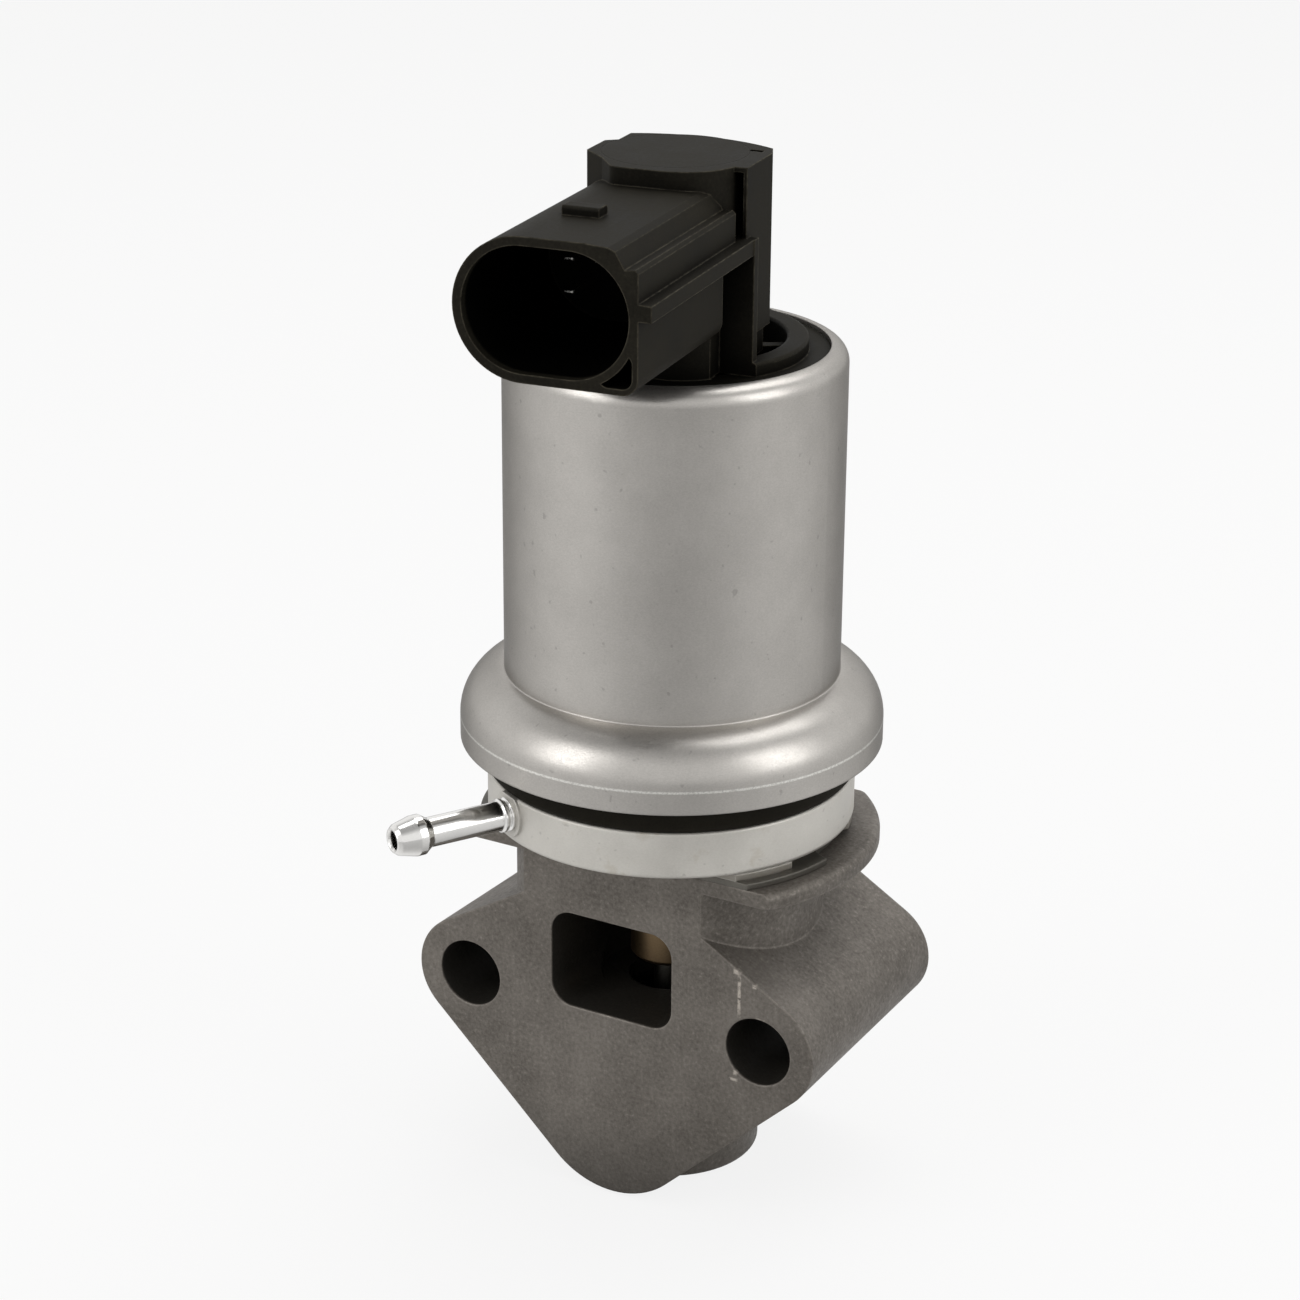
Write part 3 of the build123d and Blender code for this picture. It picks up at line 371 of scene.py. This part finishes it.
def die_cast_ring(name, dark, light, stain):
    """Smooth die cast zinc, stained brown in patches and grey with dirt along its foot, with painted shade in
    its corners and pale edges that are partly a painted highlight.
    """
    material, graph, shader = new_material(name, metallic=0.55)
    marks = use_group(graph, RUBS, patch_scale=110.0)
    edges = use_group(graph, EDGES, radius=0.3 * MM, break_scale=600.0)
    corners = use_group(graph, CREVICES, reach=2.0 * MM)
    mottle = mottle_of(graph, marks, 0.4)
    tone = graph.blend(mottle, dark, light)
    tone = graph.blend(graph.times(marks["Speck"], 0.35), tone, scaled(dark, 0.5))
    patches = graph.levels(graph.noise(graph.stretched(), 210.0, 4.0, 0.6), 0.6, 0.72, 0.0, 0.5)
    tone = graph.blend(patches, tone, stain)
    foot = graph.levels(graph.parts(graph.place())["Z"], RING_FOOT_TOP * MM, RING_FOOT * MM, 0.0, 0.75)
    # dirt along the foot, and painted shade in corners from the occlusion mask
    dirt_and_shade = graph.math("MAXIMUM", foot, graph.times(corners["Shade"], 0.5))
    tone = graph.blend(dirt_and_shade, tone, scaled(stain, 0.3))
    # pale rubbed edges, partly a painted highlight where the open edges catch light
    outer = graph.times(edges["Edge"], graph.levels(corners["Shade"], 0.4, 0.0, 0.0, 0.4))
    tone = graph.blend(outer, tone, scaled(light, 1.4))
    graph.feed(shader.inputs["Base Color"], tone)
    graph.feed(shader.inputs["Roughness"], graph.levels(mottle, 0.2, 0.8, 0.36, 0.5))
    add_bump(graph, shader, marks["Grain"], 0.15, 0.01 * MM, edges["Normal"])
    return material


def drawn_can(name, dark, light):
    """Satin plated can: fine grain round its wall, painted light in its folds, and a painted highlight line
    round the rim.
    """
    material, graph, shader = new_material(name, metallic=0.95)
    shader.inputs["Specular Tint"].default_value = (0.4, 0.4, 0.4, 1.0)
    marks = use_group(graph, RUBS, patch_scale=75.0)
    edges = use_group(graph, EDGES, radius=0.3 * MM, break_scale=500.0)
    corners = use_group(graph, CREVICES, reach=3.0 * MM)
    tone = graph.blend(mottle_of(graph, marks, 0.5), dark, light)
    tone = graph.blend(graph.times(marks["Speck"], 0.35), tone, scaled(dark, 0.5))
    # painted light: lighter in the fold and corners, filling the shade there
    tone = graph.blend(graph.times(corners["Shade"], 0.6), tone, scaled(light, 1.5))
    # painted highlight: a thin broken pale line round the rim's fold
    line = graph.inside((0.0, STEM_Y, RIM_HIGHLIGHT), (CAN_REACH, CAN_REACH, RIM_HIGHLIGHT_HALF), 0.4)
    breaks = graph.levels(marks["Grain"], 0.15, 0.6, 0.2, 0.55)
    tone = graph.blend(graph.times(line, breaks), tone, scaled(light, 2.1))
    graph.feed(shader.inputs["Base Color"], tone)
    # bright and dull crystals lie side by side, which gives a sharp gloss inside a broad one
    graph.feed(shader.inputs["Roughness"], graph.levels(marks["Crystal"], 0.42, 0.58, 0.28, 0.46))
    add_bump(graph, shader, marks["Grain"], 0.12, 0.01 * MM, edges["Normal"])
    return material


def moulded(name, colour, roughness, shine=0.1, edge_wear_and_highlight=0.5):
    """Moulded plastic or rubber with a fine spark-eroded skin, edges rubbed grey that also paint their
    highlight, and painted shade in its corners.
    """
    material, graph, shader = new_material(name, metallic=0.0)
    shader.inputs["Specular IOR Level"].default_value = shine
    skin = use_group(graph, GRAIN, grain_scale=5200.0, patch_scale=140.0)
    edges = use_group(graph, EDGES, radius=0.3 * MM, break_scale=900.0)
    corners = use_group(graph, CREVICES, reach=3.0 * MM)
    tone = graph.blend(skin["Tone"], scaled(colour, 0.8), scaled(colour, 1.4))
    # pale rubbed edges, partly a painted highlight where the open edges catch light
    outer = graph.times(edges["Edge"], graph.levels(corners["Shade"], 0.8, 0.2, 0.0, edge_wear_and_highlight))
    tone = graph.blend(outer, tone, scaled(colour, 5.0))
    # painted shade: darker in corners, where little light reaches
    tone = graph.blend(graph.times(corners["Shade"], 0.85), tone, scaled(colour, 0.15))
    graph.feed(shader.inputs["Base Color"], tone)
    gloss = graph.levels(skin["Tone"], 0.0, 1.0, roughness - 0.05, roughness + 0.05)
    graph.feed(shader.inputs["Roughness"], gloss)
    add_bump(graph, shader, skin["Height"], 0.4, 0.012 * MM, edges["Normal"])
    return material


def moulded_cap(name, colour, roughness, shine):
    """Black glass-filled plastic: pale rubbed ridges that also paint their highlight, painted shade in its
    grooves and hollows, and a socket darkened with painted shade.
    """
    material, graph, shader = new_material(name, metallic=0.0)
    shader.inputs["Specular IOR Level"].default_value = shine
    skin = use_group(graph, GRAIN, grain_scale=2600.0, patch_scale=120.0)
    edges = use_group(graph, EDGES, radius=0.28 * MM, break_scale=800.0)
    grooves = use_group(graph, CREVICES, reach=1.6 * MM)
    hollows = use_group(graph, CREVICES, reach=12.0 * MM)
    tone = graph.blend(skin["Tone"], scaled(colour, 0.75), scaled(colour, 1.45))
    tone = graph.blend(graph.times(skin["Speck"], 0.25), tone, scaled(colour, 3.0))
    # painted shade: darker in grooves, where little light reaches
    tone = graph.blend(graph.times(grooves["Shade"], 0.9), tone, scaled(colour, 0.12))
    # painted shade: much darker in deep hollows, such as under the connector
    deep = graph.levels(hollows["Shade"], 0.2, 0.75, 0.0, 0.92)
    tone = graph.blend(deep, tone, scaled(colour, 0.1))
    # pale rubbed ridges, partly a painted highlight where the open edges catch light
    outer = graph.times(edges["Edge"], graph.levels(grooves["Shade"], 0.85, 0.35, 0.0, 0.9))
    outer = graph.times(outer, graph.outside_lid())
    tone = graph.blend(outer, tone, scaled(colour, 8.0))
    # painted shade: the socket's inside made near black
    tone = graph.blend(graph.inside_socket(), tone, scaled(colour, 0.06))
    graph.feed(shader.inputs["Base Color"], tone)
    gloss = graph.levels(skin["Tone"], 0.0, 1.0, roughness - 0.06, roughness + 0.06)
    graph.feed(shader.inputs["Roughness"], gloss)
    add_bump(graph, shader, skin["Height"], 0.5, 0.02 * MM, edges["Normal"])
    return material


# colour of soot and painted shade for the port passage and bolt holes
SOOT_AND_SHADE = tint(0.02, 0.018, 0.014)
STAIN = tint(0.4, 0.35, 0.27)
CAP_BLACK = tint(0.012, 0.0108, 0.008)
STEEL = plated("plain_steel", tint(0.4, 0.39, 0.37), tint(0.52, 0.51, 0.48), 0.32)
BLACK_RUBBER = moulded("black_band", tint(0.011, 0.0098, 0.0072), 0.6, shine=0.04, edge_wear_and_highlight=0.2)
DARK_PLASTIC = moulded("dark_plastic", tint(0.03, 0.03, 0.03), 0.45)
COPPER_WIRE = plated("enamelled_wire", tint(0.45, 0.16, 0.06), tint(0.6, 0.25, 0.1), 0.3)
FINISHES = {
    "valve_body": casting("cast_body", tint(0.1, 0.089, 0.077), tint(0.178, 0.161, 0.142), SOOT_AND_SHADE),
    "base_ring": die_cast_ring("die_cast_zinc", tint(0.5, 0.482, 0.445), tint(0.62, 0.602, 0.56), STAIN),
    "spacer_plate": plated("dull_plate", tint(0.09, 0.084, 0.072), tint(0.14, 0.132, 0.115), 0.5, 0.7),
    "solenoid_can": drawn_can("satin_can", tint(0.385, 0.368, 0.346), tint(0.5, 0.48, 0.452)),
    "vent_nipple": plated("bright_nipple", tint(0.72, 0.71, 0.69), tint(0.85, 0.84, 0.82), 0.14, spread=0.04),
    "base_seal": BLACK_RUBBER,
    "cap_seal": BLACK_RUBBER,
    "stem_seal": BLACK_RUBBER,
    "top_cap": moulded_cap("black_cap", CAP_BLACK, 0.58, 0.038),
    "tower_lid": moulded_cap("black_lid", CAP_BLACK, 0.58, 0.038),
    "contact_pins": plated("tinned_blade", tint(0.6, 0.59, 0.56), tint(0.75, 0.74, 0.7), 0.2),
    "stem_guide": plated("brass_guide", tint(0.13, 0.088, 0.05), tint(0.22, 0.155, 0.088), 0.45),
    "valve_seat": plated("seat_steel", tint(0.05, 0.046, 0.04), tint(0.09, 0.085, 0.075), 0.42),
    "poppet_valve": plated("stem_steel", tint(0.1, 0.092, 0.08), tint(0.2, 0.19, 0.17), 0.35),
    "bottom_plug": plated("plug_steel", tint(0.35, 0.34, 0.31), tint(0.45, 0.43, 0.4), 0.38),
    "sensor_board": moulded("track_board", tint(0.03, 0.09, 0.04), 0.35),
    "wiper_contact": plated("sprung_brass", tint(0.55, 0.36, 0.12), tint(0.68, 0.47, 0.18), 0.3),
    "wiper_carrier": DARK_PLASTIC,
    "coil_bobbin": DARK_PLASTIC,
    "coil_winding": COPPER_WIRE,
    "coil_leads": COPPER_WIRE,
}

for name, node in NODES.items():
    node.data.materials.clear()
    node.data.materials.append(FINISHES.get(name, STEEL))


# Return spring: it shortens with the valve, so a coil of the same size stands for the rigid one

SPRING_WIRE = 0.5 * MM
SPRING_TURNS = 5
STEPS_IN_A_TURN = 40
SIDES_OF_WIRE = 12


def build_return_spring():
    """Coil between the stem guide and the spring retainer, seated on the guide and pressed by the valve."""
    low, high = (Vector(corner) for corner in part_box("return_spring"))
    radius = (high.x - low.x) / 2 - SPRING_WIRE
    rise = high.z - low.z - 2 * SPRING_WIRE
    foot = Vector(((low.x + high.x) / 2, (low.y + high.y) / 2, low.z + SPRING_WIRE))
    steps = STEPS_IN_A_TURN * SPRING_TURNS
    sides = SIDES_OF_WIRE
    points = []
    faces = []
    for step in range(steps + 1):
        turn = 2 * math.pi * SPRING_TURNS * step / steps
        outward = Vector((math.cos(turn), math.sin(turn), 0.0))
        middle = foot + outward * radius + Vector((0.0, 0.0, rise * step / steps))
        for side in range(sides):
            angle = 2 * math.pi * side / sides
            across = outward * math.cos(angle) + Vector((0.0, 0.0, math.sin(angle)))
            points.append(middle + across * SPRING_WIRE)
            if step < steps:
                start = step * sides
                after = (side + 1) % sides
                faces.append((start + side, start + sides + side, start + sides + after, start + after))
    faces.append(tuple(range(sides)))
    faces.append(tuple(reversed(range(steps * sides, steps * sides + sides))))
    mesh = bpy.data.meshes.new("return_spring_coil")
    mesh.from_pydata(points, [], faces)
    mesh.polygons.foreach_set("use_smooth", [True] * len(faces))
    mesh.materials.append(STEEL)
    coil = bpy.data.objects.new("return_spring_coil", mesh)
    scene.collection.objects.link(coil)
    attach(coil, "housing")
    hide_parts("return_spring")
    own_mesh(coil)


build_return_spring()


# Stage: places and sizes in metres, powers in watts

WHITE = (1.0, 1.0, 1.0, 1.0)
WARM_WHITE = (1.0, 0.99, 0.97, 1.0)
FLOOR_GREY = (0.6, 0.6, 0.6, 1.0)
FLOOR_HALF = 3.0
FLOOR_DROP = 0.0005
FLOOR_GLOW = 0.85
# painted reflection on the floor: its glow in reflections is dimmer in front and behind, brighter to the
# sides
SHADED_SIDE = 0.5
BRIGHT_SIDES = [(math.radians(-137.0), 0.5), (math.radians(22.0), 0.4)]
SIDE_WIDTH = math.radians(85.0)
LAMP_AIM = (0.0, 0.015, 0.045)
LAMPS = [
    ("left_softbox", (-0.35, -0.59, 0.4), (0.36, 0.6), 1.85),
    ("right_softbox", (0.67, 0.03, 0.36), (0.36, 0.5), 1.5),
    ("top_softbox", (0.0, 0.27, 0.7), (0.6, 0.5), 2.6),
]


def soft_light(name, place, size, power):
    light = bpy.data.lights.new(name, "AREA")
    light.shape = "RECTANGLE"
    light.size, light.size_y = size
    light.energy = power
    lamp = bpy.data.objects.new(name, light)
    scene.collection.objects.link(lamp)
    lamp.location = place
    lamp.rotation_euler = (Vector(LAMP_AIM) - Vector(place)).to_track_quat("-Z", "Y").to_euler()


def seen_directly(graph):
    """1 for the camera's own rays, reflections and refractions, 0 for the light that falls on things."""
    path = graph.add("ShaderNodeLightPath").outputs
    mirrored = graph.math("MAXIMUM", path["Is Glossy Ray"], path["Is Transmission Ray"])
    return graph.math("MAXIMUM", path["Is Camera Ray"], mirrored)


def white_share(graph, in_metal):
    """Full white behind the valve, and the given share of it where metal reflects the room."""
    mirrored = graph.add("ShaderNodeLightPath").outputs["Is Glossy Ray"]
    return graph.levels(mirrored, 0.0, 1.0, 1.0, in_metal)


def painted_reflection_sides(graph, place):
    """Share of white round the valve, a painted reflection for the metal: bright to its left and its right,
    dimmer between them.
    """
    parts = graph.parts(place)
    heading = graph.math("ARCTAN2", parts["Y"], parts["X"])
    share = SHADED_SIDE
    for middle, rise in BRIGHT_SIDES:
        past = graph.math("SUBTRACT", heading, middle)
        turn = graph.add("ShaderNodeMath", {0: past, 1: math.pi, 2: -math.pi}, operation="WRAP").outputs[0]
        away = graph.math("ABSOLUTE", turn)
        hump = {"Value": away, "From Min": SIDE_WIDTH, "From Max": 0.0, "To Max": rise}
        side = graph.add("ShaderNodeMapRange", hump, interpolation_type="SMOOTHSTEP").outputs["Result"]
        share = graph.math("ADD", side, share)
    return share


def build_room():
    """White behind the valve, soft light from all round, and a dimmer ceiling where metal reflects it."""
    world = bpy.data.worlds.new("studio")
    scene.world = world
    world.use_nodes = True
    world.node_tree.nodes.clear()
    graph = Graph(world.node_tree)
    height = graph.parts(graph.add("ShaderNodeTexCoord").outputs["Generated"])["Z"]
    glow = graph.levels(height, -0.4, 0.8, 0.3, 0.72)
    room = graph.add("ShaderNodeBackground", {"Color": WARM_WHITE, "Strength": glow})
    ceiling = white_share(graph, graph.levels(height, 0.6, 0.88, 1.0, 0.45))
    white = graph.add("ShaderNodeBackground", {"Color": WHITE, "Strength": ceiling})
    mix = graph.add("ShaderNodeMixShader", {0: seen_directly(graph), 1: room.outputs[0], 2: white.outputs[0]})
    graph.add("ShaderNodeOutputWorld", {"Surface": mix.outputs[0]})


def build_floor():
    """Pale paper that keeps the valve's shadow, and that glows in reflections with a painted reflection,
    brighter to the valve's left and right.
    """
    mesh = bpy.data.meshes.new("studio_floor")
    level = cad_low.z - FLOOR_DROP
    signs = [(-1, -1), (1, -1), (1, 1), (-1, 1)]
    mesh.from_pydata([(x * FLOOR_HALF, y * FLOOR_HALF, level) for x, y in signs], [], [(0, 1, 2, 3)])
    floor = bpy.data.objects.new("studio_floor", mesh)
    scene.collection.objects.link(floor)
    material, graph, shader = new_material("floor_paper", metallic=0.0)
    shader.inputs["Base Color"].default_value = FLOOR_GREY
    shader.inputs["Roughness"].default_value = 0.9
    around = graph.vector("SUBTRACT", graph.place(), AXIS)
    # painted reflection: the floor glows where metal mirrors it, brighter to the valve's sides
    strength = white_share(graph, painted_reflection_sides(graph, around))
    glow = graph.add("ShaderNodeEmission", {"Color": WHITE, "Strength": strength})
    share = graph.times(seen_directly(graph), FLOOR_GLOW)
    mix = graph.add("ShaderNodeMixShader", {0: share, 1: shader.outputs[0], 2: glow.outputs[0]})
    graph.feed(material.node_tree.nodes["Material Output"].inputs["Surface"], mix.outputs[0])
    mesh.materials.append(material)


# Camera: lens, place and tilt solved from the photograph's flange, rings and can

CAMERA_LENS = 91.696
CAMERA_PLACE = (0.18937, -0.31998, 0.19458)
CAMERA_RIGHT = (0.86554, 0.50079, 0.00663)
CAMERA_UP = (-0.18799, 0.31258, 0.93109)


def build_camera():
    camera = bpy.data.cameras.new("photo_camera")
    camera.sensor_width = 36.0
    camera.lens = CAMERA_LENS
    camera.clip_start = 0.01
    holder = bpy.data.objects.new("photo_camera", camera)
    scene.collection.objects.link(holder)
    right = Vector(CAMERA_RIGHT)
    back = right.cross(Vector(CAMERA_UP)).normalized()
    up = back.cross(right).normalized()
    turn = Matrix((right.normalized(), up, back)).transposed().to_4x4()
    holder.matrix_world = Matrix.Translation(CAMERA_PLACE) @ turn
    scene.camera = holder


build_room()
build_floor()
for lamp_name, lamp_place, lamp_size, lamp_power in LAMPS:
    soft_light(lamp_name, lamp_place, lamp_size, lamp_power)
build_camera()
scene.view_settings.view_transform = "Standard"
